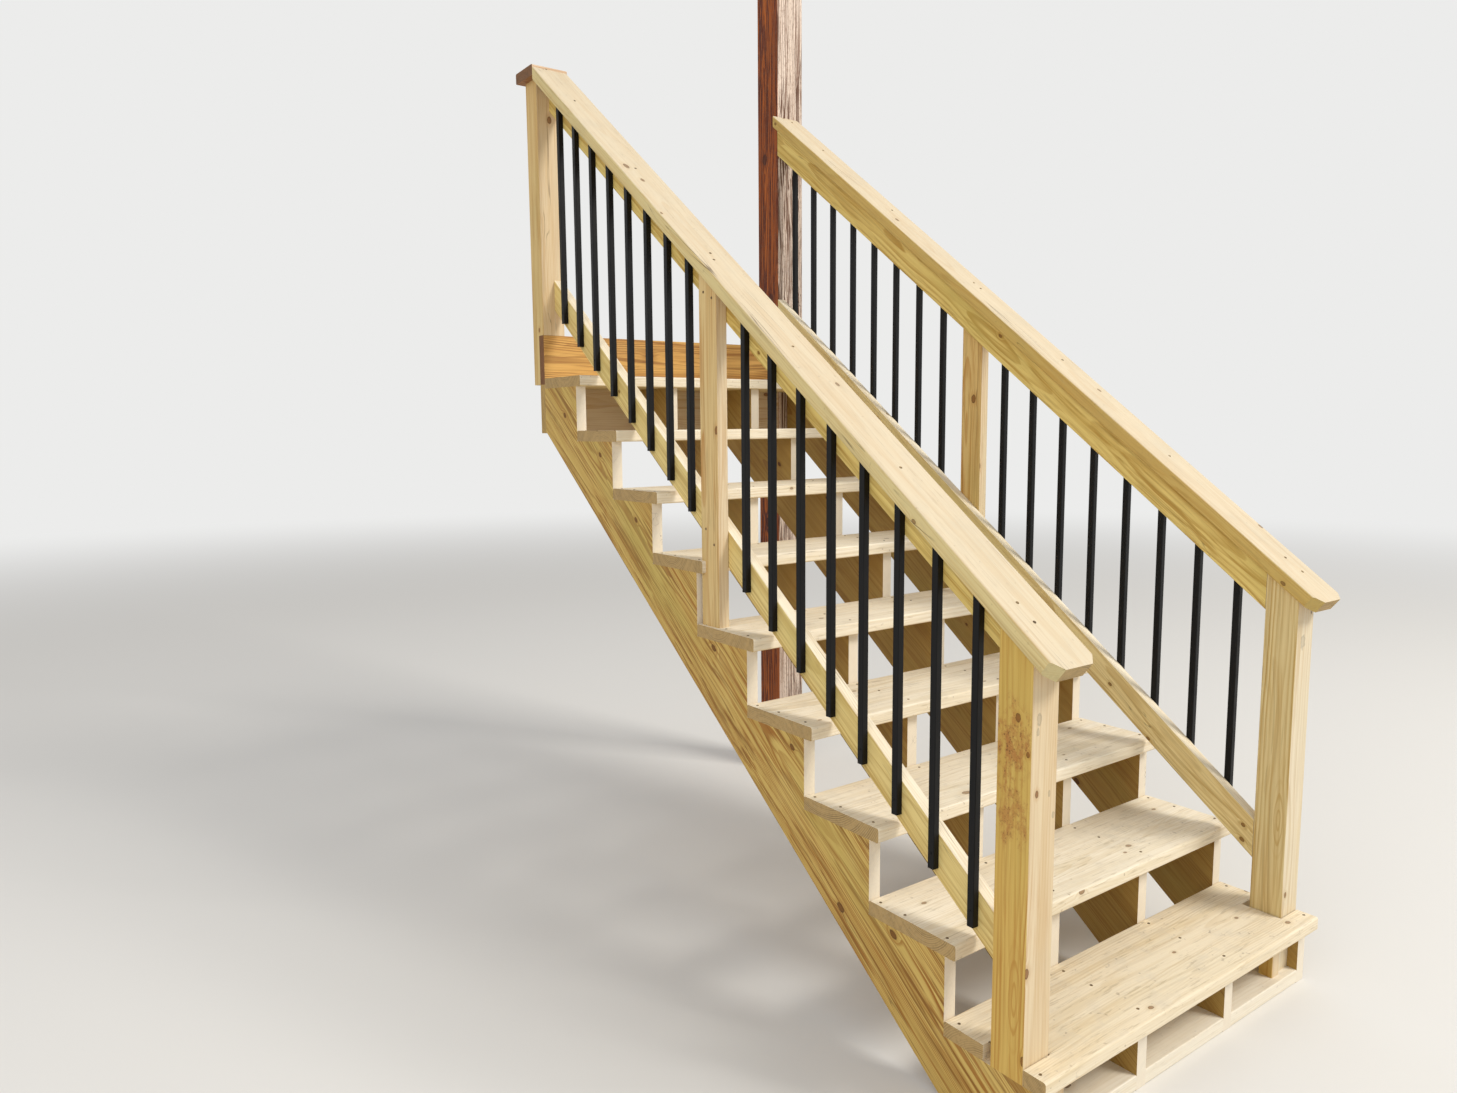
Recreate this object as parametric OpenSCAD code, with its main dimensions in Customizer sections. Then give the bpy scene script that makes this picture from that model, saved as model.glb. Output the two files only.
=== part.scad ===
// Straight timber stair up to a raised deck, with a raked guard on each side.
// Nine open treads lie on four sawtooth stringers.  The guards have flat
// sloping caps, two rails and square metal balusters.
//
// X runs across the stair, Y runs up it towards the deck and Z is up.  The
// origin is the middle of the back face of the hanger board, which bears on
// the deck.  The drawing is laid out from the ground below the front of the
// left stringer, and in_place() moves it to that origin.

/* [Stair] */
// Height of one step
rise = 197; // [170:1:205]
// Depth of one step, from riser line to riser line
run = 254; // [240:1:275]
// Width over the outer stringers, which is the length of a tread
stair_w = 1219; // [900:1:1500]

/* [Timber] */
// Thickness of the framing boards and treads
board_t = 38; // [35:1:40]
// Depth of a tread board, front to back
tread_d = 286; // [280:1:300]
// Depth of the plank that a stringer is cut from
plank_d = 286; // [280:1:305]
// Depth of the rails and of the mid posts
rail_d = 89; // [85:1:95]
// Side of the square guard posts
post_w = 89; // [85:1:95]
// Width of the caps and of the foot plates
cap_w = 140; // [136:1:150]
// Depth of the rim board and of the hanger board
rim_d = 184; // [180:1:190]
// Side of the tall square post
tall_w = 140; // [130:1:150]
// Height of the tall square post above the ground
tall_h = 3490; // [3000:10:3600]

/* [Guard] */
// Height of the caps above the line of the tread noses
guard_h = 914; // [870:1:1000]
// Gap between the tread noses and the lower rail
foot_gap = 32; // [20:1:60]
// Set-back of the bottom posts from the first riser line
post_y = 28; // [20:1:40]
// Length of the left cap beyond its bottom post, along the slope
tail_left = 70; // [50:1:120]
// Length of the right cap beyond its bottom post, along the slope
tail_right = 54; // [50:1:120]
// Corners clipped off the bottom end of a cap
cap_clip = 26; // [8:1:35]
// Side of a square baluster
bal_w = 19; // [16:1:20]
// Clear gap between the balusters of the lower left bay
bal_gap_left_lower = 104; // [92:1:110]
// Clear gap between the balusters of the upper left bay
bal_gap_left_upper = 100; // [92:1:110]
// Clear gap between the balusters of the lower right bay
bal_gap_right_lower = 103; // [92:1:110]
// Clear gap between the balusters of the upper right bay
bal_gap_right_upper = 104; // [92:1:110]
// Gap between the lower post of a bay and its first baluster, on the left
bal_first_left = 83; // [60:1:110]
// Gap between the lower post of a bay and its first baluster, on the right
bal_first_right = 93; // [60:1:110]
// Least gap between the last baluster of a bay and the upper post
bal_last_gap = 20; // [10:1:40]

/* [Edges] */
// Rounding of the long edges of the treads and caps
tread_r = 6; // [3:1:9]
// Rounding of the long edges of the other boards and posts
board_r = 3; // [2:1:5]
// Clearance around a post in the notched bottom tread
notch_gap = 2; // [1:1:4]

/* [Hidden] */
$fn = 24;
treads = 9;
slope = rise / run;
rake = atan(slope);
// Vertical height of a board's depth once it lies on the slope
rail_v = rail_d / cos(rake);
cap_v = board_t / cos(rake);
// How far a tread's front edge stands ahead of its riser line
nose = tread_d - run;
// The stringers end where the deck begins
top_y = treads * run;
deck_z = (treads + 1) * rise;
deck_t = 35;
rim_top = deck_z - deck_t;
hanger_top = rim_top - rim_d;
hanger_low = hanger_top - rim_d;
// The rim stops at the tall post, which is flush with the right-hand rails
rim_l = stair_w - post_w;
string_pitch = (stair_w - board_t) / 3;
// The mid posts stand on the fifth tread, outside the rails
mid_treads = 5;
mid_back_gap = 10;
mid_y = mid_treads * run - mid_back_gap - rail_d;
mid_x = post_w - 2 * board_t;
// Set-out of the bottom tread's notch and of the blocks that carry it
notch_back = 20;
block_gap = 12;
block_ahead = 8;
// Set-out of the balusters' ends, and the rounding of their edges
bal_foot = 21;
bal_head = 5;
bal_r = 2;
// A cap overhangs its post by the same amount on each side
cap_over = (cap_w - post_w) / 2;
// Sizes past anything that they cut
past = 10;
far = 8000;

pine = [0.89, 0.81, 0.62];
pine_olive = [0.80, 0.71, 0.47];
old_pine = [0.70, 0.49, 0.29];
old_brown = [0.48, 0.34, 0.23];
black = [0.06, 0.06, 0.065];

// Height of the line through the tread noses, at a distance y up the stair.
function nose_z(y) = rise + (y + nose) * slope;
function cap_top_z(y) = nose_z(y) + guard_h;
function cap_low_z(y) = cap_top_z(y) - cap_v;
// Lower edge of a stringer: the plank's depth below the tips of its teeth.
function string_low_z(y) = rise - board_t + y * slope - plank_d / cos(rake);
// How many balusters go into a length that starts at the first of them.
function bal_count(l, gap) = floor((l - bal_last_gap + gap) / (bal_w + gap));

// Moves the drawing so that the origin is on the back of the hanger board.
module in_place() {
    translate([-rim_l / 2, -top_y - board_t, -(hanger_top + hanger_low) / 2])
        children();
}

// The same piece on the other side of the stair.
module right_hand() {
    translate([stair_w, 0, 0])
        mirror([1, 0, 0])
            children();
}

// Section of dressed timber, with its four edges rounded.
module section(w, d, r) {
    translate([r, 0])
        square([w - 2 * r, d]);
    translate([0, r])
        square([w, d - 2 * r]);
    for (x = [r, w - r], y = [r, d - r])
        translate([x, y])
            circle(r);
}

// A flat shape drawn across and up, made into a board that runs along X.
module along_x(l) {
    rotate([90, 0, 90])
        linear_extrude(l)
            children();
}

// A section drawn across and up, made into a board that runs along Y.
module along_y(l) {
    translate([0, l, 0])
        rotate([90, 0, 0])
            linear_extrude(l)
                children();
}

// Keeps what lies below a sloping line, for post tops that meet a cap.
module under_cap() {
    intersection() {
        children();
        translate([-far / 2, 0, 0])
            along_x(far)
                polygon([
                    [-far, -far], [far, -far],
                    [far, cap_low_z(far)], [-far, cap_low_z(-far)]
                ]);
    }
}

// A board that lies on the slope, its lower face at height z over the riser
// line y = 0, and cut plumb at both ends.
module raked(w, d, r, z, y0, y1) {
    intersection() {
        translate([0, 0, z])
            rotate([rake, 0, 0])
                translate([0, -far / 2, 0])
                    along_y(far)
                        section(w, d, r);
        translate([-past, y0, -far])
            cube([w + 2 * past, y1 - y0, 2 * far]);
    }
}

// A plank cut to a level seat and a plumb riser for each tread.  Its foot sits
// flat on the ground and its top end is cut plumb against the deck.
module stringer() {
    teeth = [
        for (k = [1:treads])
            each [[(k - 1) * run, k * rise - board_t], [k * run, k * rise - board_t]]
    ];
    color(pine_olive)
        intersection() {
            raked(board_t, plank_d + past, board_r, string_low_z(0), -past, top_y + past);
            translate([-past, 0, 0])
                along_x(board_t + 2 * past)
                    polygon(concat(teeth, [[top_y, 0], [0, 0]]));
        }
}

module tread(k) {
    color(pine)
        translate([0, (k - 1) * run - nose, k * rise - board_t])
            along_x(stair_w)
                section(tread_d, board_t, tread_r);
}

// The bottom tread is notched at both ends, so that it goes round the posts.
module bottom_tread() {
    color(pine)
        difference() {
            tread(1);
            notch();
            right_hand()
                notch();
        }
}

module notch() {
    translate([-past, post_y - notch_gap, 0])
        cube([post_w + notch_gap + past, post_w + notch_gap + notch_back, deck_z]);
}

// A flat plate on the ground between two stringers; the posts stand on it.
module foot_plate(n) {
    color(pine)
        translate([n * string_pitch + board_t, 0, 0])
            along_x(string_pitch - board_t)
                section(cap_w, board_t, board_r);
}

// A short upright block near each post carries the notched tread.
module foot_blocks() {
    color(pine_olive) {
        foot_block();
        right_hand()
            foot_block();
    }
}

module foot_block() {
    translate([post_w + block_gap, post_y - block_ahead, board_t])
        linear_extrude(rise - 2 * board_t)
            section(board_t, board_t, board_r);
}

module rim_board() {
    color(old_pine)
        translate([0, top_y, hanger_top])
            along_x(rim_l)
                section(board_t, rim_d, board_r);
}

module hanger_board() {
    color(pine)
        translate([0, top_y, hanger_low])
            along_x(rim_l)
                section(board_t, rim_d, board_r);
}

// A square post cut to the slope under the cap.  Its outer part is notched
// over the stringer and its inner part goes down to the foot plate.
module post_bottom() {
    color(pine_olive)
        difference() {
            under_cap()
                translate([0, post_y, board_t])
                    linear_extrude(far)
                        section(post_w, post_w, board_r);
            translate([-past, 0, 0])
                cube([board_t + past, run, rise - board_t]);
        }
}

// A flat post that stands on a tread and is fixed to the outside of the rails.
module post_mid() {
    color(pine)
        under_cap()
            translate([mid_x, mid_y, mid_treads * rise])
                linear_extrude(far)
                    section(board_t, rail_d, board_r);
}

// The top post stands on the rim and laps behind it, and its head is level.
module post_top_left() {
    color(pine)
        difference() {
            translate([0, top_y, hanger_top])
                linear_extrude(cap_low_z(top_y) - hanger_top)
                    section(post_w, post_w, board_r);
            translate([-past, top_y - past, hanger_top - past])
                cube([post_w + 2 * past, board_t + past, rim_d + past]);
        }
}

module post_top_right() {
    color(old_brown)
        translate([rim_l, top_y, 0])
            linear_extrude(tall_h)
                section(tall_w, tall_w, tread_r);
}

module rail_top() {
    color(pine)
        translate([mid_x + board_t, 0, 0])
            raked(board_t, rail_d, board_r, cap_low_z(0) - rail_v, post_y + post_w, top_y);
}

module rail_bottom() {
    color(pine)
        translate([mid_x + board_t, 0, 0])
            raked(board_t, rail_d, board_r, nose_z(0) + foot_gap, post_y + post_w, top_y);
}

// A flat cap on the slope.  Its bottom end is cut square with both corners
// clipped and its top end is cut plumb.
module cap(tail, end_y) {
    color(pine)
        intersection() {
            translate([-cap_over, 0, 0])
                raked(cap_w, board_t, tread_r, cap_low_z(0), -far, end_y);
            translate([-cap_over, 0, cap_low_z(0)])
                rotate([rake, 0, 0])
                    translate([0, post_y / cos(rake) - tail, -past])
                        linear_extrude(board_t + 2 * past)
                            polygon([
                                [cap_clip, 0], [cap_w - cap_clip, 0], [cap_w, cap_clip],
                                [cap_w, far], [0, far], [0, cap_clip]
                            ]);
        }
}

// The level cap over the top post, which the left cap butts against.
module cap_level() {
    color(old_pine)
        translate([-cap_over, top_y - cap_over, cap_low_z(top_y)])
            along_x(cap_w)
                section(cap_w, board_t, tread_r);
}

// Square balusters on the outside of the rails, from y0 on, at the same gap.
module balusters(y0, y1, gap) {
    color(black)
        for (i = [0:bal_count(y1 - y0, gap) - 1])
            baluster(y0 + i * (bal_w + gap));
}

module baluster(y) {
    foot = nose_z(y + bal_w / 2) + foot_gap + bal_foot;
    translate([mid_x + board_t - bal_w, y, foot])
        linear_extrude(cap_low_z(y) - bal_head - foot)
            section(bal_w, bal_w, bal_r);
}

module balusters_lower(first, gap) {
    balusters(post_y + post_w + first, mid_y, gap);
}

module balusters_upper(first, gap) {
    balusters(mid_y + rail_d + first, top_y, gap);
}

module stringer_at(n) {
    translate([n * string_pitch, 0, 0])
        stringer();
}

in_place() stringer_at(0);  // stringer_left
in_place() stringer_at(1);  // stringer_mid_left
in_place() stringer_at(2);  // stringer_mid_right
in_place() stringer_at(3);  // stringer_right
in_place() bottom_tread();  // tread_1
in_place() tread(2);  // tread_2
in_place() tread(3);  // tread_3
in_place() tread(4);  // tread_4
in_place() tread(5);  // tread_5
in_place() tread(6);  // tread_6
in_place() tread(7);  // tread_7
in_place() tread(8);  // tread_8
in_place() tread(9);  // tread_9
in_place() foot_plate(0);  // foot_plate_left
in_place() foot_plate(1);  // foot_plate_mid
in_place() foot_plate(2);  // foot_plate_right
in_place() foot_blocks();
in_place() rim_board();
in_place() hanger_board();
in_place() post_bottom();  // post_bottom_left
in_place() right_hand() post_bottom();  // post_bottom_right
in_place() post_mid();  // post_mid_left
in_place() right_hand() post_mid();  // post_mid_right
in_place() post_top_left();
in_place() post_top_right();
in_place() rail_top();  // rail_top_left
in_place() right_hand() rail_top();  // rail_top_right
in_place() rail_bottom();  // rail_bottom_left
in_place() right_hand() rail_bottom();  // rail_bottom_right
in_place() cap(tail_left, top_y - cap_over);  // cap_left
in_place() right_hand() cap(tail_right, top_y);  // cap_right
in_place() cap_level();
in_place() balusters_lower(bal_first_left, bal_gap_left_lower);  // balusters_left_lower
in_place() balusters_upper(bal_first_left, bal_gap_left_upper);  // balusters_left_upper
in_place() right_hand() balusters_lower(bal_first_right, bal_gap_right_lower);  // balusters_right_lower
in_place() right_hand() balusters_upper(bal_first_right, bal_gap_right_upper);  // balusters_right_upper
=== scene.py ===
"""Looks of the timber deck stair: the wood of every board, the black balusters,
the screws, and a plain studio round them.  All sizes are in metres."""

import math
import random

import bmesh
import bpy
from mathutils import Matrix, Vector


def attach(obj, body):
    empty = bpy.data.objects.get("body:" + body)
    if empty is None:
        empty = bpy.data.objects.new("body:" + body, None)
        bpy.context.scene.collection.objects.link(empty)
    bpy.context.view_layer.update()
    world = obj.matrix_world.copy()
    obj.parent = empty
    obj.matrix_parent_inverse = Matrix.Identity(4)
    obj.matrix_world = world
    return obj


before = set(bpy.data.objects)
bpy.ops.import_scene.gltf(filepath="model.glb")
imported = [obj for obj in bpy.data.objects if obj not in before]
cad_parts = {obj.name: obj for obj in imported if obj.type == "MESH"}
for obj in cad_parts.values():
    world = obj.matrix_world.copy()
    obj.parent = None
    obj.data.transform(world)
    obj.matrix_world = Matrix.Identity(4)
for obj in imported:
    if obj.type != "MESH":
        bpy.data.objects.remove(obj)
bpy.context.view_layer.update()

# The stair as it was set out: x across from the left stringer's outer face,
# y up the stair from the first riser line, z up from the level it stands on.
RISE, RUN, WIDTH = 0.197, 0.254, 1.219
BOARD, NOSE, TREADS = 0.038, 0.032, 9
PLANK, RIM = 0.286, 0.184
POST, RAIL, TALL_POST = 0.089, 0.089, 0.140
# How high the guard is, and how far its bottom rail is above the noses.
GUARD, FOOT_GAP = 0.914, 0.032
# The front faces of the bottom and mid posts, and the back of the last tread.
POST_Y = 0.028
MID_Y = 5 * RUN - 0.010 - RAIL
TOP_Y = TREADS * RUN
# The outer face of the mid posts.
MID_X = POST - 2 * BOARD
# A baluster's side, and the least gap behind the last one of a bay.
BALUSTER, LAST_GAP = 0.019, 0.020
# Each bay's first gap and the clear gap between its balusters.
BAYS = {
    ("left", "lower"): (0.083, 0.104),
    ("left", "upper"): (0.083, 0.100),
    ("right", "lower"): (0.093, 0.103),
    ("right", "upper"): (0.093, 0.104),
}
# How far a baluster's foot is above its rail's lower edge, how far its head is
# below the cap, and how far its screws are from its ends.
BALUSTER_FOOT, BALUSTER_HEAD, BALUSTER_END = 0.021, 0.005, 0.038
SLOPE = RISE / RUN
RAKE = math.atan(SLOPE)
C, S = math.cos(RAKE), math.sin(RAKE)
PITCH = (WIDTH - BOARD) / 3
# How far the rim board's upper edge is below the tenth rise.
RIM_DROP = 0.035
HANGER_TOP = (TREADS + 1) * RISE - RIM_DROP - RIM
ORIGIN = Vector(((WIDTH - POST) / 2, TOP_Y + BOARD, HANGER_TOP - RIM / 2))


def set_out(x, y, z):
    """A point of the stair as it was set out, in the model's own frame."""
    return Vector((x, y, z)) - ORIGIN


def nose_z(y):
    """The height of the line through the treads' noses."""
    return RISE + (y + NOSE) * SLOPE


def cap_z(y):
    """The height of the sloping cap's upper face."""
    return nose_z(y) + GUARD


def on_side(side, x):
    """A distance in from the left face, or from the right one."""
    return x if side == "left" else WIDTH - x


def shade(r, g, b):
    """A colour as a painter reads it off, 0 to 255, for a colour socket."""
    out = []
    for c in (r / 255, g / 255, b / 255):
        out.append(c / 12.92 if c <= 0.04045 else ((c + 0.055) / 1.055) ** 2.4)
    return (*out, 1.0)


def darker(colour, amount):
    """A colour with only this much of its light."""
    return (colour[0] * amount, colour[1] * amount, colour[2] * amount, 1.0)


# Materials.


class Value:
    """A node's output.  Sums written with it add Math nodes to the finish."""

    def __init__(self, finish, socket):
        self.finish, self.socket = finish, socket

    def other(self, output):
        """Another output of the same node."""
        return Value(self.finish, self.socket.node.outputs[output])

    def maths(self, operation, a, b):
        return self.finish.add("ShaderNodeMath", {"operation": operation}, {0: a, 1: b})

    def __add__(self, other):
        return self.maths("ADD", self, other)

    def __radd__(self, other):
        return self.maths("ADD", other, self)

    def __sub__(self, other):
        return self.maths("SUBTRACT", self, other)

    def __rsub__(self, other):
        return self.maths("SUBTRACT", other, self)

    def __mul__(self, other):
        return self.maths("MULTIPLY", self, other)

    def __rmul__(self, other):
        return self.maths("MULTIPLY", other, self)

    def __truediv__(self, other):
        return self.maths("DIVIDE", self, other)

    def __rtruediv__(self, other):
        return self.maths("DIVIDE", other, self)

    def __pow__(self, other):
        return self.maths("POWER", self, other)

    def __rpow__(self, other):
        return self.maths("POWER", other, self)

    def __abs__(self):
        return self.maths("ABSOLUTE", self, 0.0)

    def least(self, other):
        return self.maths("MINIMUM", self, other)

    def fraction(self):
        return self.maths("FRACT", self, 0.0)


class Finish:
    """The nodes of a material, or of the studio's world, under construction."""

    def __init__(self, owner):
        owner.use_nodes = True
        self.owner, self.tree = owner, owner.node_tree
        self.tree.nodes.clear()

    def add(self, kind, settings=None, sockets=None, out=0):
        """A node of a kind: its settings first, then what its sockets hold."""
        node = self.tree.nodes.new(kind)
        for key, value in (settings or {}).items():
            setattr(node, key, value)
        for key, value in (sockets or {}).items():
            if isinstance(value, Value):
                self.tree.links.new(value.socket, node.inputs[key])
            else:
                node.inputs[key].default_value = value
        return Value(self, node.outputs[out]) if len(node.outputs) else None

    def place(self):
        return self.add("ShaderNodeTexCoord", out="Object")

    def facing(self):
        return self.add("ShaderNodeTexCoord", out="Normal")

    def split(self, vector):
        x = self.add("ShaderNodeSeparateXYZ", None, {0: vector})
        return x, x.other(1), x.other(2)

    def join(self, x, y, z=0.0):
        return self.add("ShaderNodeCombineXYZ", None, {0: x, 1: y, 2: z})

    def vector(self, operation, a, b, out=0):
        return self.add("ShaderNodeVectorMath", {"operation": operation}, {0: a, 1: b}, out)

    def along(self, a, b):
        """How far one direction runs along another."""
        return self.vector("DOT_PRODUCT", a, b, "Value")

    def noise(self, vector, scale, detail=2.0, rough=0.5, out=0):
        return self.add(
            "ShaderNodeTexNoise",
            {"noise_dimensions": "3D"},
            {"Vector": vector, "Scale": scale, "Detail": detail, "Roughness": rough},
            out,
        )

    def fade(self, value, low, high):
        """0 up to low, 1 from high on, and smooth between them."""
        return self.add(
            "ShaderNodeMapRange",
            {"interpolation_type": "SMOOTHSTEP"},
            {"Value": value, "From Min": low, "From Max": high},
        )

    def mix(self, amount, a, b, blend="MIX"):
        return self.add(
            "ShaderNodeMix",
            {"data_type": "RGBA", "blend_type": blend},
            {0: amount, 6: a, 7: b},
            2,
        )

    def bump(self, height, strength, distance):
        return self.add(
            "ShaderNodeBump", None, {"Height": height, "Strength": strength, "Distance": distance}
        )

    def looked_at(self):
        """1 where the eye or a reflection sees a thing, 0 where it gives light."""
        eye = self.add("ShaderNodeLightPath", out="Is Camera Ray")
        return (eye + eye.other("Is Glossy Ray") + eye.other("Is Transmission Ray")).least(1.0)

    def surface(self, **sockets):
        names = {
            "colour": "Base Color", "rough": "Roughness", "metal": "Metallic",
            "normal": "Normal", "gloss": "Specular IOR Level",
        }
        shader = self.add(
            "ShaderNodeBsdfPrincipled", None, {names[k]: v for k, v in sockets.items()}
        )
        self.add("ShaderNodeOutputMaterial", None, {"Surface": shader})
        return self.owner


# How each kind of board lies: its length, its width and its thickness.
LIES = {
    "across": ((1, 0, 0), (0, 1, 0), (0, 0, 1)),
    "across_on_edge": ((1, 0, 0), (0, 0, 1), (0, -1, 0)),
    "upright": ((0, 0, 1), (0, 1, 0), (-1, 0, 0)),
    "raked_on_edge": ((0, C, S), (0, -S, C), (1, 0, 0)),
    "raked_flat": ((0, C, S), (-1, 0, 0), (0, -S, C)),
}


def turn(lie):
    """The turn that lays a board along X in the way named."""
    return Matrix(LIES[lie]).transposed().to_euler("XYZ")


def wood(spring, summer, streak, knot, end, tint, grey, side_shade):
    """The colours of one wood: spring wood, summer wood, streaks, knots, end
    grain, the tint that the treatment leaves in patches, weathered grey, and
    the painted shade multiplied onto the faces turned away from the sun."""
    return {
        "spring": shade(*spring), "summer": shade(*summer), "streak": shade(*streak),
        "knot": shade(*knot), "end": shade(*end), "tint": shade(*tint),
        "grey": shade(*grey), "side_shade": (*side_shade, 1.0),
    }


# The last colour of each wood is painted shade, for the faces away from the sun.
NEW_PINE = wood(
    (226, 207, 172), (190, 148, 96), (206, 176, 128), (122, 80, 44),
    (200, 172, 124), (196, 190, 146), (194, 184, 160), (0.86, 0.71, 0.28),
)
# Its grey is nearly white: on the stringers' riser cuts it is painted light, and elsewhere
# weathered grey.
STRINGER_PINE = wood(
    (230, 212, 174), (172, 124, 72), (190, 158, 106), (104, 66, 32),
    (196, 170, 122), (200, 196, 150), (252, 245, 230), (0.80, 0.68, 0.30),
)
# The middle and right stringers: a deeper painted shade, for the shade they stand in under the
# treads.
INNER_PINE = {**STRINGER_PINE, "side_shade": (0.56, 0.44, 0.18, 1.0)}
RAIL_PINE = wood(
    (246, 235, 210), (190, 158, 102), (216, 194, 148), (120, 80, 44),
    (200, 174, 128), (210, 204, 164), (204, 194, 170), (0.83, 0.69, 0.23),
)
RIGHT_POST_PINE = {
    **RAIL_PINE, "spring": shade(228, 215, 188), "side_shade": (0.86, 0.73, 0.25, 1.0),
}
BOTTOM_TREAD_PINE = wood(
    (239, 226, 199), (206, 180, 134), (222, 202, 162), (134, 96, 62),
    (206, 180, 136), (214, 208, 176), (206, 196, 176), (0.74, 0.60, 0.30),
)
# Treads above the first are painted paler: painted light, making up for the shade the guards cast
# on them.
TREAD_PINE = {
    **BOTTOM_TREAD_PINE, "spring": shade(245, 235, 214),
    "summer": shade(214, 192, 150), "streak": shade(228, 212, 178),
}
FOOT_PINE = {
    **BOTTOM_TREAD_PINE, "spring": shade(240, 232, 214),
    "summer": shade(222, 206, 176), "streak": shade(230, 218, 194),
}
CAP_PINE = wood(
    (220, 205, 176), (206, 180, 140), (212, 190, 156), (122, 88, 56),
    (200, 172, 124), (206, 198, 164), (196, 186, 164), (0.92, 0.85, 0.36),
)
RIGHT_CAP_PINE = {**CAP_PINE, "side_shade": (0.84, 0.70, 0.30, 1.0)}
GOLD_PINE = wood(
    (222, 176, 100), (132, 80, 36), (182, 126, 62), (96, 56, 28),
    (140, 98, 62), (200, 146, 86), (186, 146, 104), (0.60, 0.42, 0.24),
)
OLD_PINE = wood(
    (222, 196, 164), (170, 124, 86), (196, 158, 122), (110, 74, 48),
    (156, 122, 90), (206, 172, 138), (200, 182, 160), (0.52, 0.32, 0.16),
)
BROWN_PINE = wood(
    (238, 220, 202), (116, 80, 58), (204, 178, 156), (84, 56, 40),
    (132, 100, 78), (190, 162, 140), (196, 182, 170), (0.58, 0.175, 0.025),
)

# The way the sun comes from for the painted shade: the right, the front and above.
SUN = (0.83, -0.30, 0.47)
EARTH, GRIT = shade(166, 104, 50), shade(98, 66, 30)

# On a board's edges, what lies across is its depth moved by this much, so
# that a mark on a face doesn't show on the edge as well.
EDGE = 0.37
# How far above a rail's middle the painted shadow line under its cap begins, and where it is
# darkest.
CAP_SHADOW = (0.0350, 0.0405)


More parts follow.
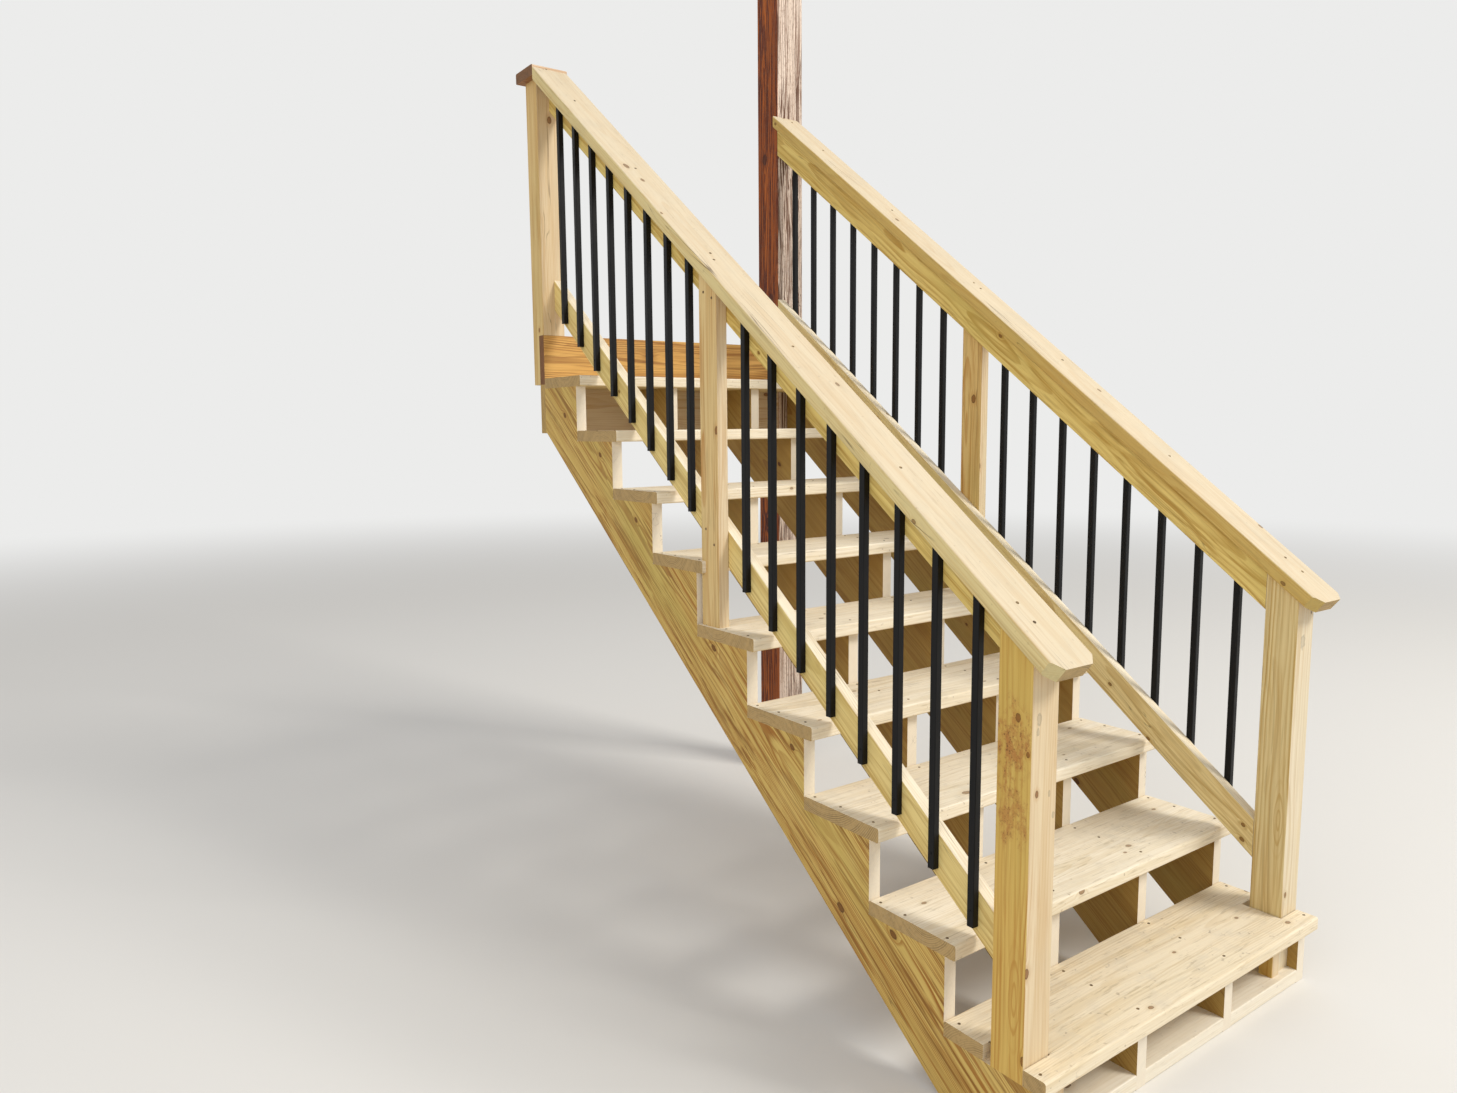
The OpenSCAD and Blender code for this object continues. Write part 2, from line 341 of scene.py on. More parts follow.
class Timber(Finish):
    """One sawn board's finish, painted in layers over its grain.  u, v and w
    run along, across and through the board, and cross runs across whichever
    face is looked at."""

    def __init__(self, name, lie, centre, seed, colours):
        super().__init__(bpy.data.materials.new(name))
        self.wood = colours
        self.dark = darker(colours["summer"], 0.62)
        length, width, _ = LIES[lie]
        local = self.add(
            "ShaderNodeMapping",
            {"vector_type": "TEXTURE"},
            {"Vector": self.place(), "Location": centre, "Rotation": turn(lie)},
        )
        self.u, self.v, self.w = self.split(local)
        self.normal = self.facing()
        endwise = abs(self.along(self.normal, length))
        self.end = self.fade(endwise, 0.72, 0.97)
        self.cut = self.fade(endwise, 0.60, 0.75)
        edge = self.fade(abs(self.along(self.normal, width)), 0.60, 0.80)
        self.cross = self.v + edge * (self.w - self.v + EDGE)
        # Painted shade: 1 on the faces turned away from the sun, 0 on those towards it.
        self.painted_shade = self.fade(self.along(self.normal, SUN), 0.25, -0.60)

        # Each board is cut from a place of its own, and its grain wanders.
        rnd = random.Random(seed)
        self.shift = tuple(rnd.uniform(-9.0, 9.0) for _ in range(3))
        self.moved = self.vector("ADD", local, self.shift)
        slow = self.vector("MULTIPLY", self.moved, (0.9, 3.0, 3.0))
        self.wander = self.split(self.noise(slow, 1.6, 1.0, out="Color"))
        drift_v, drift_w = ((self.wander[i] - 0.5) * 0.07 for i in (0, 1))
        self.wavy = self.vector("ADD", self.moved, self.join(0.0, drift_v, drift_w))

    def drawn_out(self, place, along, across, detail=2.0, rough=0.5):
        """Noise drawn out along the grain, in waves a metre each way."""
        stretched = self.vector("MULTIPLY", place, (along, across, across))
        return self.noise(stretched, 1.0, detail, rough)

    def paint(self, amount, colour, blend="MIX"):
        """Lay this much of a colour over what is there."""
        self.colour = self.mix(amount, self.colour, colour, blend)

    def distance(self, knot, stretch):
        """How far from a knot's middle, in its own radii, in a long oval."""
        u, v, radius = knot
        return (((self.u - u) * stretch) ** 2.0 + (self.cross - v) ** 2.0) ** 0.5 / radius

    def set_knots(self, knots):
        """The marked knots, and a few small ones strewn at random."""
        u, v, _ = self.shift
        cell = self.vector("MULTIPLY", self.join(self.u + u, self.cross + v), (1.5, 7.0, 0.0))
        near = self.add(
            "ShaderNodeTexVoronoi",
            {"voronoi_dimensions": "2D", "feature": "F1"},
            {"Vector": cell, "Scale": 1.0},
            "Position",
        )
        luck, spread, _ = self.split(near.other("Color"))
        off = self.vector("MULTIPLY", self.vector("SUBTRACT", cell, near), (0.667, 0.143, 0.0))
        off_u, off_v, _ = self.split(off)
        far = ((off_u * 0.62) ** 2.0 + off_v ** 2.0) ** 0.5 / (0.003 + spread * 0.006)
        far = far + self.fade(luck, 0.36, 0.34) * 40.0
        for knot in knots:
            far = far.least(self.distance(knot, 0.66))
        self.far = far
        ragged = far + (self.noise(self.moved, 160.0, 2.0) - 0.5) * 0.5
        self.inside = self.fade(ragged, 1.08, 0.92)
        self.bark = self.fade(abs(ragged - 1.0), 0.24, 0.05)

    def grow_rings(self, heart, ring):
        """Growth rings round the trunk's wandering heart, pushed aside by knots."""
        off_v = self.v - heart[0] - (self.wander[0] - 0.5) * 0.05
        off_w = self.w - heart[1] - (self.wander[1] - 0.5) * 0.05
        swell = self.fade(self.far, 3.6, 0.4) * 0.007
        fine = (self.drawn_out(self.moved, 1.2, 60.0) - 0.5) * 0.0016
        ripple = (self.drawn_out(self.moved, 5.0, 14.0) - 0.5) * 0.005
        out = (off_v ** 2.0 + off_w ** 2.0) ** 0.5 + swell
        rings = (out + fine + ripple + (self.wander[2] - 0.5) * 0.01) / ring
        age = rings.fraction()
        late = self.fade(age, 0.30, 0.86) * self.fade(age, 1.0, 0.93)
        year = self.fade(self.noise(self.join(rings * 0.35, 0.0), 1.0, 1.0), 0.36, 0.64)
        lasting = self.fade(self.drawn_out(self.wavy, 2.0, 16.0), 0.38, 0.60)
        self.late = late * (0.15 + year) * (0.45 + lasting * 0.55)

    def paint_grain(self, grain, streaks, sunny):
        """The rings, and the lines and streaks between them."""
        # The rings and dark streaks are painted stronger on the painted-shade side.
        strong = (0.45 + self.painted_shade * 0.55) * grain
        self.band = self.drawn_out(self.wavy, 0.8, 26.0, 3.0, 0.55)
        lines = self.drawn_out(self.wavy, 1.6, 95.0, 3.0, 0.6)
        self.colour = self.wood["spring"]
        self.paint((self.late * strong * 1.1).least(1.0), self.wood["summer"])
        self.paint(self.fade(self.band, 0.46, 0.72) * 0.55, self.wood["streak"])
        self.paint(self.fade(lines, 0.50, 0.68) * strong * 0.75, self.wood["summer"])
        if streaks:
            deep = (sunny + self.painted_shade * (1.0 - sunny)) * streaks
            gash = self.drawn_out(self.wavy, 2.6, 44.0, 5.0, 0.62)
            thin = self.drawn_out(self.wavy, 1.2, 130.0)
            self.paint(self.fade(gash, 0.53, 0.70) * deep * 0.75, self.dark)
            self.paint(self.fade(thin, 0.55, 0.63) * deep, self.dark)

    def paint_patches(self, tint, grey):
        """Patches of the treatment's tint and of weathered grey, and fibres."""
        patch = self.fade(self.drawn_out(self.moved, 1.3, 5.0, 3.0), 0.50, 0.72)
        # The tint patches are painted stronger on the painted-shade side.
        self.paint(patch * (0.3 + self.painted_shade * 0.7) * tint, self.wood["tint"])
        blot = self.noise(self.moved, 5.0, 4.0, 0.6)
        self.paint(self.fade(blot, 0.50, 0.75) * grey, self.wood["grey"])
        self.fibre = self.drawn_out(self.moved, 9.0, 520.0, 2.0, 0.6)
        self.paint((self.fibre - 0.5) * 0.5 + 0.08, self.wood["summer"])

    def paint_knots(self, faint, flames):
        """Knots with a dark bark ring, rings of their own and a resin halo."""
        knot_rings = self.fade((self.far * 3.5).fraction(), 0.2, 0.9)
        heartwood = self.mix(knot_rings * 0.45, self.wood["knot"], self.wood["summer"])
        self.paint(self.fade(self.far, 3.0, 1.0) * 0.38, self.wood["summer"])
        self.paint(self.inside * 0.9, heartwood)
        self.paint(self.bark * 0.6, darker(self.wood["knot"], 0.42))
        for knot in faint:
            out = self.distance(knot, 0.6)
            out = out + (self.noise(self.moved, 110.0, 3.0, 0.6) - 0.5) * 1.5
            outline = self.fade(abs(out - 1.0), 0.38, 0.10) * 0.6
            outline = outline + self.fade(out, 1.1, 0.5) * 0.5
            self.paint(outline * 0.7, darker(self.wood["grey"], 0.46))
        for flame in flames:
            out = self.distance(flame, 0.17) + (self.wander[2] - 0.5) * 0.8
            out = out + (self.noise(self.moved, 22.0, 2.0) - 0.5) * 0.5
            age = out.fraction()
            loops = self.fade(age, 0.45, 0.80) * self.fade(age, 0.98, 0.86)
            self.paint(loops * self.fade(out, 3.4, 1.6) * 0.6, self.wood["summer"])

    def paint_ends(self):
        """Cut ends, which show the rings, darker and rougher than the faces."""
        # Saw cuts are painted the wood's grey: weathering, and on the stringers' riser cuts also
        # painted light.
        self.paint(self.cut * 0.8, self.wood["grey"])
        sawn = self.wood["end"]
        rings = self.mix(self.late * 0.9, darker(sawn, 0.86), darker(sawn, 0.40))
        self.spokes = self.noise(self.moved, 90.0, 3.0, 0.6)
        spokes = self.fade(self.spokes, 0.46, 0.72) * 0.45
        self.paint(self.end, self.mix(spokes, rings, darker(sawn, 0.5)))

    def paint_checks(self, checks):
        """Drying checks: thin, dark and along the grain."""
        seam = self.drawn_out(self.wavy, 1.1, 44.0, 1.0)
        where = self.drawn_out(self.moved, 1.7, 9.0, 1.0)
        start = 0.68 - 0.08 * checks
        check = self.fade(abs(seam - 0.5), 0.011, 0.003) * self.fade(where, start, start + 0.06)
        self.check = check * min(checks, 1.0)
        self.paint(self.check * 0.8, darker(self.wood["knot"], 0.35))

    def paint_side_shade(self, side_shade, cap_shadow):
        """Painted shade on the faces away from the sun, and a painted shadow line under a cap."""
        # Painted shade, multiplied onto the faces away from the sun.
        self.paint(self.painted_shade * (1.0 - self.end * 0.4) * side_shade, self.wood["side_shade"], "MULTIPLY")
        # A painted shadow along the rail's upper edge, under the cap.
        if cap_shadow:
            self.paint(self.fade(self.v, *CAP_SHADOW) * cap_shadow, darker(self.wood["knot"], 0.5))

    def paint_wear(self, worn):
        """Dust, specks and short raised fibres on the faces that are trodden."""
        up = self.split(self.normal)[2]
        dust = self.noise(self.moved, 14.0, 5.0, 0.65)
        trod = self.fade(up, 0.5, 0.9) * self.fade(dust, 0.46, 0.74)
        self.paint(trod * worn, self.wood["grey"])
        specks = self.fade(self.noise(self.moved, 70.0, 1.0), 0.70, 0.76)
        self.paint(specks * self.fade(dust, 0.40, 0.60) * worn, darker(self.wood["knot"], 0.7))
        dash = self.drawn_out(self.moved, 13.0, 150.0, 3.0, 0.6)
        self.paint(self.fade(dash, 0.58, 0.68) * worn * 0.9, self.dark)

    def paint_soil(self, u, v, reach_u, reach_v, strength):
        """A smear of earth, with grit in it."""
        off_u, off_v = (self.u - u) / reach_u, (self.cross - v) / reach_v
        away = (off_u ** 2.0 + off_v ** 2.0) ** 0.5
        smear = self.drawn_out(self.moved, 24.0, 44.0, 6.0, 0.72)
        stain = self.fade(smear - away * 0.10, 0.36, 0.58) * self.fade(away, 1.3, 0.8) * strength
        self.paint(stain * 0.55, EARTH)
        grit = self.fade(self.noise(self.moved, 150.0, 5.0, 0.75), 0.52, 0.62) * stain
        self.paint(grit * 0.65, GRIT)

    def finished(self, fuzz):
        """The material, with its roughness and its relief."""
        rough = 0.60 + self.band * 0.14 + self.end * 0.12 - self.late * 0.10
        height = self.late * 0.22 + self.fibre * 0.30 + (1.0 - self.check) * 1.6
        height = height + self.inside * 0.25 - self.bark * 0.3 + self.end * self.spokes * 0.8
        if fuzz:
            pile = self.drawn_out(self.moved, 55.0, 150.0, 4.0, 0.7)
            self.paint(self.fade(pile, 0.48, 0.66) * fuzz, self.wood["summer"])
            height = height + pile * fuzz * 1.5
        return self.surface(
            colour=self.colour, rough=rough, gloss=0.32, normal=self.bump(height, 0.45, 0.0008)
        )


def timber(
    name, lie, centre, seed, colours, heart, ring=0.0048, knots=(), tint=0.35, grey=0.15,
    checks=0.5, worn=0.0, side_shade=1.0, grain=1.0, streaks=0.0, sunny=0.4, faint=(), flames=(),
    soil=(), cap_shadow=0.0, fuzz=0.0,
):
    """The look of one sawn board, cut out of a solid trunk.

    heart is where the trunk's centre runs beside the board's own centre line,
    across its width and through its thickness.  A heart close under a wide
    face gives arched grain, and one far off gives straight grain.  ring is
    the width of a year's growth.  Each knot is a place along the board, one
    across it, and a radius.  faint lists knots of which little more than the
    outline shows, and flames the long ovals that rings make where a bulge of
    them is sawn through.  tint and grey are how strong those patches are,
    checks how many drying checks there are, and worn how trodden the upper
    faces are.  lee is how strong the painted shade is on the faces away from
    the sun, grain how strongly the rings show, and streaks how strong the
    dark streaks between them are, with sunny the part of that on the faces
    towards the sun.  soil lists smears of earth, each a place, its reach
    along and across and its strength.  joint is how dark the painted shadow
    line is along the upper edge, under a cap, and fuzz how rough the saw left
    the faces."""
    board = Timber(name, lie, centre, seed, colours)
    board.set_knots(knots)
    board.grow_rings(heart, ring)
    board.paint_grain(grain, streaks, sunny)
    board.paint_patches(tint, grey)
    board.paint_knots(faint, flames)
    board.paint_ends()
    board.paint_checks(checks)
    board.paint_side_shade(side_shade, cap_shadow)
    if worn:
        board.paint_wear(worn)
    for smear in soil:
        board.paint_soil(*smear)
    return board.finished(fuzz)


def powder_black(name):
    """Satin black powder coat, with its faint orange peel and some dust."""
    f = Finish(bpy.data.materials.new(name))
    peel = f.noise(f.place(), 420.0, 2.0)
    dust = f.noise(f.place(), 9.0, 5.0, 0.65)
    colour = f.mix(f.fade(dust, 0.45, 0.8) * 0.5, shade(11, 11, 12), shade(26, 25, 24))
    rough = 0.42 + f.fade(dust, 0.4, 0.75) * 0.20
    return f.surface(colour=colour, rough=rough, gloss=0.20, normal=f.bump(peel, 0.12, 0.0004))


def screw_metal(name):
    """Coated steel of the screws, dulled by the weather."""
    f = Finish(bpy.data.materials.new(name))
    stain = f.noise(f.place(), 60.0, 3.0)
    colour = f.mix(f.fade(stain, 0.35, 0.7), shade(140, 118, 84), shade(88, 72, 52))
    return f.surface(colour=colour, rough=0.42 + stain * 0.2, metal=0.75)


def finish_node(node, material):
    """Give a node of the model its finish."""
    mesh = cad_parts[node].data
    mesh.materials.clear()
    mesh.materials.append(material)


def mark(lie, centre, place, radius, on_edge=False):
    """A knot, by where it is on the stair as set out."""
    along, wide, thick = (Vector(axis) for axis in LIES[lie])
    offset = set_out(*place) - centre
    across = offset.dot(thick) + EDGE if on_edge else offset.dot(wide)
    return (offset.dot(along), across, radius)


# The stringers.  The left one's knots are where they show.
for i, side in enumerate(("left", "mid_left", "mid_right", "right")):
    outer = side == "left"
    middle = set_out(i * PITCH + BOARD / 2, TOP_Y / 2, TOP_Y / 2 * SLOPE - 0.03)
    places = ((0, 0.812, 0.714), (0, 1.864, 1.492), (0, 1.627, 1.281)) if outer else ()
    finish_node(
        "stringer_" + side,
        timber(
            "pine_stringer_" + side, "raked_on_edge", middle, 11 + i,
            STRINGER_PINE if outer else INNER_PINE, (0.03 - 0.03 * i, 0.056), ring=0.0048,
            knots=[mark("raked_on_edge", middle, place, 0.0065) for place in places],
            tint=0.5, grain=1.2 if outer else 0.5, streaks=0.75 if outer else 0.15,
        ),
    )

# Each tread has wood of its own.
for k in range(1, TREADS + 1):
    rnd = random.Random(100 + k)
    middle = set_out(WIDTH / 2, (k - 1) * RUN - NOSE + PLANK / 2, k * RISE - BOARD / 2)
    heart = (rnd.uniform(-0.06, 0.06), rnd.choice((-1, 1)) * rnd.uniform(0.05, 0.12))
    knots = [
        (rnd.uniform(-0.5, 0.5), rnd.uniform(-0.12, 0.12), rnd.uniform(0.003, 0.005))
        for _ in range(rnd.choice((0, 0, 1)))
    ]
    finish_node(
        f"tread_{k}",
        timber(
            f"pine_tread_{k}", "across", middle, 30 + k,
            BOTTOM_TREAD_PINE if k == 1 else TREAD_PINE, heart,
            ring=rnd.uniform(0.0042, 0.006), knots=knots, tint=0.25,
            grey=rnd.uniform(0.10, 0.25), checks=0.5, worn=0.4, streaks=0.34,
        ),
    )

# The flat plates at the foot, and the two short blocks beside the posts.
for i, side in enumerate(("left", "mid", "right")):
    middle = set_out(i * PITCH + BOARD + (PITCH - BOARD) / 2, 0.07, BOARD / 2)
    finish_node(
        "foot_plate_" + side,
        timber(
            "pine_foot_plate_" + side, "across", middle, 50 + i, FOOT_PINE, (0.02, -0.09),
            tint=0.1, grey=0.1, checks=0.0, worn=0.2,
        ),
    )
finish_node(
    "foot_blocks",
    timber(
        "pine_foot_blocks", "upright", set_out(POST, POST_Y + 0.011, 0.1), 55, NEW_PINE,
        (0.03, 0.05),
    ),
)

# The two boards at the top.
rim_x, rim_y = (WIDTH - POST) / 2, TOP_Y + BOARD / 2
finish_node(
    "rim_board",
    timber(
        "gold_pine_rim", "across_on_edge", set_out(rim_x, rim_y, HANGER_TOP + RIM / 2), 60,
        GOLD_PINE, (0.01, 0.07), ring=0.0075, knots=[(-0.1, 0.03, 0.011)], grey=0.2,
        checks=0.8, side_shade=0.4, grain=2.0, streaks=0.3,
    ),
)
finish_node(
    "hanger_board",
    timber(
        "pine_hanger", "across_on_edge", set_out(rim_x, rim_y, HANGER_TOP - RIM / 2), 61,
        NEW_PINE, (0.02, 0.09), grain=1.3,
    ),
)

# What shows on the two bottom posts: knots on two faces each, and smears of
# earth on the left one.
middle = set_out(POST / 2, POST_Y + POST / 2, 0.62)
knots = [
    mark("upright", middle, (0.022, POST_Y, 0.810), 0.005, True),
    mark("upright", middle, (0.004, POST_Y, 0.415), 0.007, True),
    mark("upright", middle, (0, 0.063, 0.972), 0.006),
    mark("upright", middle, (0, 0.036, 0.898), 0.004),
]
faint = [
    mark("upright", middle, (0.024, POST_Y, 0.972), 0.0065, True),
    mark("upright", middle, (0.021, POST_Y, 0.945), 0.0045, True),
    mark("upright", middle, (0.064, POST_Y, 0.803), 0.0035, True),
    mark("upright", middle, (0.080, POST_Y, 0.752), 0.0035, True),
]
flames = [mark("upright", middle, (0, 0.056, 0.346), 0.008)]
soil = [
    mark("upright", middle, (0, 0.086, 0.915), 0.090) + (0.060, 1.4),
    mark("upright", middle, (0, 0.078, 0.760), 0.080) + (0.052, 1.1),
]
finish_node(
    "post_bottom_left",
    timber(
        "pine_post_bottom_left", "upright", middle, 70, NEW_PINE, (-0.012, 0.060), ring=0.009,
        knots=knots, tint=0.3, checks=0.9, grain=0.75, streaks=0.12, faint=faint,
        flames=flames, soil=soil,
    ),
)
middle = set_out(WIDTH - POST / 2, POST_Y + POST / 2, 0.62)
finish_node(
    "post_bottom_right",
    timber(
        "pine_post_bottom_right", "upright", middle, 71, RIGHT_POST_PINE, (-0.012, 0.03),
        ring=0.010, knots=[mark("upright", middle, (1.148, POST_Y, 0.260), 0.005, True)],
        tint=0.4, checks=0.9, side_shade=0.55, grain=0.75, streaks=0.3,
        faint=[mark("upright", middle, (1.165, POST_Y, 0.985), 0.010, True)],
        flames=[mark("upright", middle, (1.130, 0.050, 0.478), 0.007)],
    ),
)

# The mid posts, the rails and the caps.
for i, side in enumerate(("left", "right")):
    x = on_side(side, MID_X + BOARD / 2)
    finish_node(
        "post_mid_" + side,
        timber(
            "pine_post_mid_" + side, "upright", set_out(x, MID_Y + RAIL / 2, 1.5), 74 + i,
            NEW_PINE, (0.02, 0.06), ring=0.008, tint=0.6, side_shade=(0.6, 0.75)[i], grain=0.9,
            streaks=0.35,
        ),
    )
    x, y = on_side(side, MID_X + BOARD * 1.5), (POST_Y + POST + TOP_Y) / 2
    cap_low = cap_z(y) - BOARD / C
    # The top rails take a painted shadow line under their caps.
    finish_node(
        "rail_top_" + side,
        timber(
            "pine_rail_top_" + side, "raked_on_edge", set_out(x, y, cap_low - RAIL / 2 / C),
            80 + i, RAIL_PINE, (0.01, 0.06), ring=0.007, tint=0.5, side_shade=0.9, streaks=0.3,
            cap_shadow=0.9,
        ),
    )
    middle = set_out(x, y, nose_z(y) + FOOT_GAP + RAIL / 2 / C)
    places = ((1.130, 0.590, 0.756), (1.130, 0.146, 0.432)) if side == "right" else ()
    finish_node(
        "rail_bottom_" + side,
        timber(
            "pine_rail_bottom_" + side, "raked_on_edge", middle, 84 + i, RAIL_PINE,
            (0.02, -0.07), ring=0.007,
            knots=[mark("raked_on_edge", middle, place, 0.0045) for place in places],
            tint=0.5, side_shade=(0.8, 0.64)[i], grain=0.7, streaks=0.2,
        ),
    )
    finish_node(
        "cap_" + side,
        timber(
            "pine_cap_" + side, "raked_flat",
            set_out(on_side(side, POST / 2), y, cap_z(y) - BOARD / 2 / C), 90 + i,
            (CAP_PINE, RIGHT_CAP_PINE)[i], (0.01, -0.07), ring=0.0052,
            knots=[(0.5, 0.02, 0.006), (-0.6, -0.03, 0.005)], tint=0.3, grey=0.3,
            checks=0.9, worn=0.22, side_shade=(0.6, 1.0)[i], streaks=0.32,
        ),
    )

finish_node(
    "cap_level",
    timber(
        "old_pine_cap_level", "across",
        set_out(POST / 2, TOP_Y + POST / 2, cap_z(TOP_Y) - BOARD / 2 / C), 95, OLD_PINE,
        (0.01, -0.07), grey=0.4, checks=0.8,
    ),
)

# The two posts at the top.
middle = set_out(POST / 2, TOP_Y + POST / 2, 2.3)
finish_node(
    "post_top_left",
    timber(
        "pine_post_top_left", "upright", middle, 96, NEW_PINE, (0.0, 0.05),
        knots=[mark("upright", middle, (0.050, TOP_Y, 2.720), 0.008, True)], side_shade=0.65,
    ),
)
finish_node(
    "post_top_right",
    timber(
        "brown_pine_tall_post", "upright",
        set_out(WIDTH - POST + TALL_POST / 2, TOP_Y + TALL_POST / 2, 1.75), 97, BROWN_PINE,
        (0.02, 0.09), ring=0.007,
        knots=[(1.0, 0.02, 0.014), (0.4, -0.02, 0.012), (-0.6, 0.01, 0.013)], tint=0.5,
        grey=0.45, checks=2.0, grain=2.6, streaks=1.0, sunny=1.2, fuzz=0.5,
    ),
)

black = powder_black("black_powder_coat")
for side, bay in BAYS:
    finish_node(f"balusters_{side}_{bay}", black)


# Screws.

# How thick a head is, how far its middle stands out of the wood, and how deep
# its drive is sunk.
HEAD_DEPTH, HEAD_OUT, DRIVE_DEPTH = 0.0012, 0.0004, 0.0007
# The rows of screws: behind each riser line on a tread, up the stair on a cap,
# and up the stair and above the middle of a rail on a mid post.
TREAD_ROWS = (0.012, 0.140, 0.226)
CAP_ROWS = (0.05, 0.095, 0.45, 0.85, 1.20, 1.23, 1.65, 2.05, 2.26)
POST_ROWS = ((0.022, 0.0), (0.064, 0.012))
# How far a cap's screws are out from its middle.
CAP_OUT = 0.012


def screw_head(radius):
    """A small flat head with a sunk drive, at the origin and facing up."""
    bm = bmesh.new()
    bmesh.ops.create_cone(
        bm, cap_ends=True, segments=12, radius1=radius, radius2=radius * 0.86,
        depth=HEAD_DEPTH, matrix=Matrix.Translation((0, 0, HEAD_OUT)),
    )
    top = max(bm.faces, key=lambda face: face.calc_center_median().z)
    bmesh.ops.inset_region(bm, faces=[top], thickness=radius * 0.42)
    bmesh.ops.translate(bm, verts=top.verts, vec=(0, 0, -DRIVE_DEPTH))
    return bm


def screw_set(name, places, radius, material):
    """Screw heads at the places given, each one a point and the way it faces."""
    whole = bmesh.new()
    for i, (point, facing) in enumerate(places):
        head = screw_head(radius)
        spin = Matrix.Rotation(i * 1.3, 4, "Z")
        lean = Vector(facing).to_track_quat("Z", "Y").to_matrix().to_4x4()
        bmesh.ops.transform(
            head, matrix=Matrix.Translation(point) @ lean @ spin, verts=head.verts
        )
        part = bpy.data.meshes.new("one_screw")
        head.to_mesh(part)
        head.free()
        whole.from_mesh(part)
        bpy.data.meshes.remove(part)
    mesh = bpy.data.meshes.new(name)
    whole.to_mesh(mesh)
    whole.free()
    mesh.materials.append(material)
    piece = bpy.data.objects.new(name, mesh)
    bpy.context.scene.collection.objects.link(piece)
    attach(piece, "root")


rnd = random.Random(7)
steel = screw_metal("deck_screw_steel")


def jitter(amount):
    """How far a hand is off its mark."""
    return rnd.uniform(-amount, amount)


# Three screws through each tread into each stringer.  Beside the bottom
# posts the front one is further forward.
places = []
for k in range(1, TREADS + 1):
    for s in range(4):
        for row in TREAD_ROWS:
            y = 0.0 if k == 1 and s in (0, 3) and row == TREAD_ROWS[0] else row
            x = s * PITCH + BOARD / 2 + jitter(0.006)
            point = set_out(x, (k - 1) * RUN + y + jitter(0.007), k * RISE)
            places.append((point, (0, 0, 1)))
screw_set("tread_screws", places, 0.0040, steel)

# A screw near each end of every baluster, through it into the rail.
places = []
for (side, bay), (first, gap) in BAYS.items():
    y0, y1 = (POST_Y + POST, MID_Y) if bay == "lower" else (MID_Y + RAIL, TOP_Y)
    x = on_side(side, MID_X + BOARD - BALUSTER)
    out = -1 if side == "left" else 1
    for i in range(math.floor((y1 - y0 - first - LAST_GAP + gap) / (BALUSTER + gap))):
        y = y0 + first + i * (BALUSTER + gap) + BALUSTER / 2
        low = nose_z(y) + FOOT_GAP + BALUSTER_FOOT + BALUSTER_END
        high = cap_z(y - BALUSTER / 2) - BOARD / C - BALUSTER_HEAD - BALUSTER_END
        for z in (low, high):
            places.append((set_out(x, y, z), (out, 0, 0)))
screw_set("baluster_screws", places, 0.0036, black)

# Screws through the mid posts into the rails, and down through the caps into
# the posts and rails.
places = []
for side, out in (("left", -1), ("right", 1)):
    for dy, dz in POST_ROWS:
        y = MID_Y + dy
        low = nose_z(y) + FOOT_GAP + RAIL / 2 / C + dz
        high = cap_z(y) - BOARD / C - RAIL / 2 / C - dz
        for z in (low, high):
            places.append((set_out(on_side(side, MID_X), y, z), (out, 0, 0)))
    for y in CAP_ROWS:
        x = on_side(side, POST / 2) + out * CAP_OUT + jitter(0.006)
        places.append((set_out(x, y, cap_z(y)), (0, -S, C)))
screw_set("rail_screws", places, 0.0042, steel)


# The studio.

BACKGROUND = shade(236, 236, 235)
# The floor's radius, how far it lies below the plates, and from where to where
# it fades into the background.
FLOOR_RADIUS, FLOOR_GAP, FADING = 60.0, 0.0005, (5.0, 16.0)


def floor_finish():
    """A plain pale floor that fades into the background far away."""
    f = Finish(bpy.data.materials.new("studio_floor"))
    x, y, _ = f.split(f.place())
    away = (x ** 2.0 + y ** 2.0) ** 0.5
    plain = f.add("ShaderNodeBsdfDiffuse", None, {"Color": shade(224, 222, 217)})
    pale = f.add("ShaderNodeEmission", None, {"Color": BACKGROUND, "Strength": 1.0})
    far = f.fade(away, *FADING) * f.looked_at()
    blend = f.add("ShaderNodeMixShader", None, {0: far, 1: plain, 2: pale})
    f.add("ShaderNodeOutputMaterial", None, {"Surface": blend})
    return f.owner


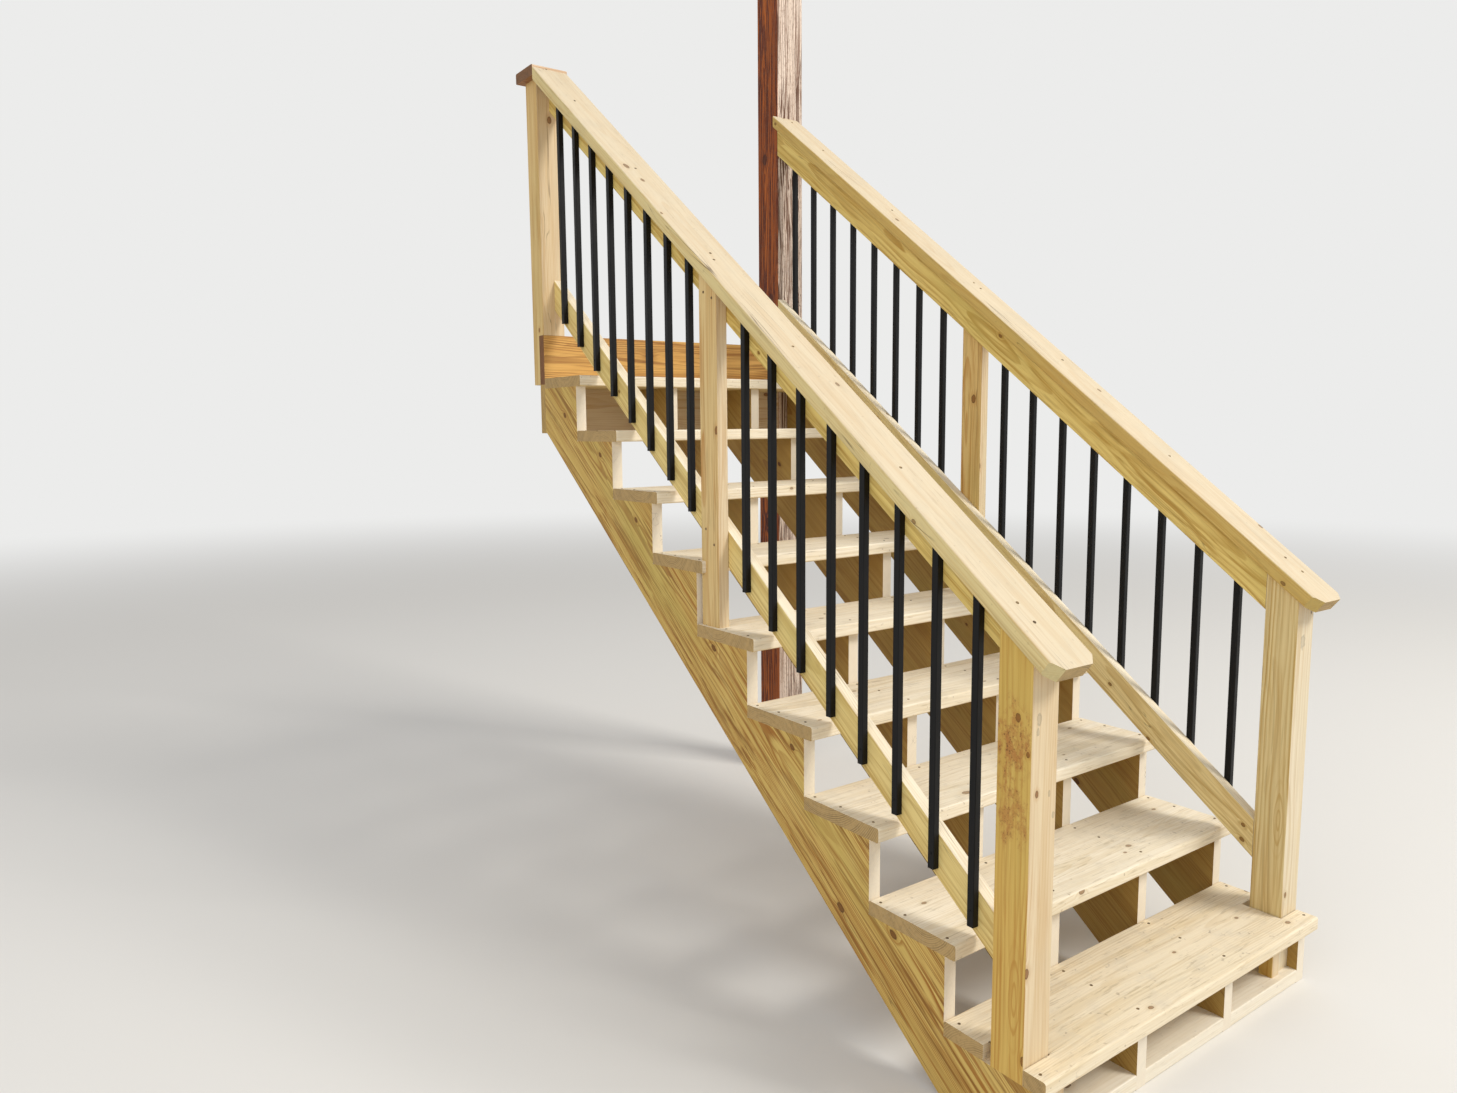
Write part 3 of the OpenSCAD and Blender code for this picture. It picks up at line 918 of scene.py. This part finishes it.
disc = bmesh.new()
bmesh.ops.create_circle(disc, cap_ends=True, segments=64, radius=FLOOR_RADIUS)
bmesh.ops.translate(disc, verts=disc.verts, vec=(0, 0, -ORIGIN.z - FLOOR_GAP))
floor_mesh = bpy.data.meshes.new("floor")
disc.to_mesh(floor_mesh)
disc.free()
floor_mesh.materials.append(floor_finish())
floor = bpy.data.objects.new("floor", floor_mesh)
bpy.context.scene.collection.objects.link(floor)

world = bpy.data.worlds.new("studio")
bpy.context.scene.world = world
walls = Finish(world)
lit = walls.add("ShaderNodeBackground", None, {"Color": shade(250, 250, 252), "Strength": 0.62})
seen = walls.add("ShaderNodeBackground", None, {"Color": BACKGROUND, "Strength": 1.0})
both = walls.add("ShaderNodeMixShader", None, {0: walls.looked_at(), 1: lit, 2: seen})
walls.add("ShaderNodeOutputWorld", None, {"Surface": both})


def lamp(name, place, target, size, power, colour):
    """A soft square lamp at a place, aimed at its target."""
    light = bpy.data.lights.new(name, "AREA")
    light.shape = "SQUARE"
    light.size = size
    light.energy = power
    light.color = colour
    holder = bpy.data.objects.new(name, light)
    holder.location = place
    aim = Vector(target) - Vector(place)
    holder.rotation_euler = aim.to_track_quat("-Z", "Y").to_euler()
    bpy.context.scene.collection.objects.link(holder)


lamp("key", (4.8, -8.8, 7.5), (0.0, -1.2, -0.4), 3.6, 970, (1.0, 0.97, 0.92))
lamp("fill", (-6.5, -3.5, 2.5), (0.0, -1.0, -0.5), 4.0, 150, (0.95, 0.97, 1.0))

# The camera, at the photograph's place and angle.
PHOTO_WIDTH, FOCAL_PIXELS, SENSOR = 1457, 1005.8, 36.0
view = bpy.data.cameras.new("photo_view")
view.sensor_fit = "HORIZONTAL"
view.sensor_width = SENSOR
view.lens = FOCAL_PIXELS / PHOTO_WIDTH * SENSOR
holder = bpy.data.objects.new("photo_view", view)
yaw, pitch, roll = math.radians(35.657), math.radians(-6.771), math.radians(-0.539)
holder.location = set_out(-1.690, -1.254, 1.584)
holder.rotation_euler = (
    Matrix.Rotation(-yaw, 3, "Z")
    @ Matrix.Rotation(math.pi / 2 + pitch, 3, "X")
    @ Matrix.Rotation(roll, 3, "Z")
).to_euler()
bpy.context.scene.collection.objects.link(holder)
bpy.context.scene.camera = holder
bpy.context.scene.view_settings.view_transform = "Standard"
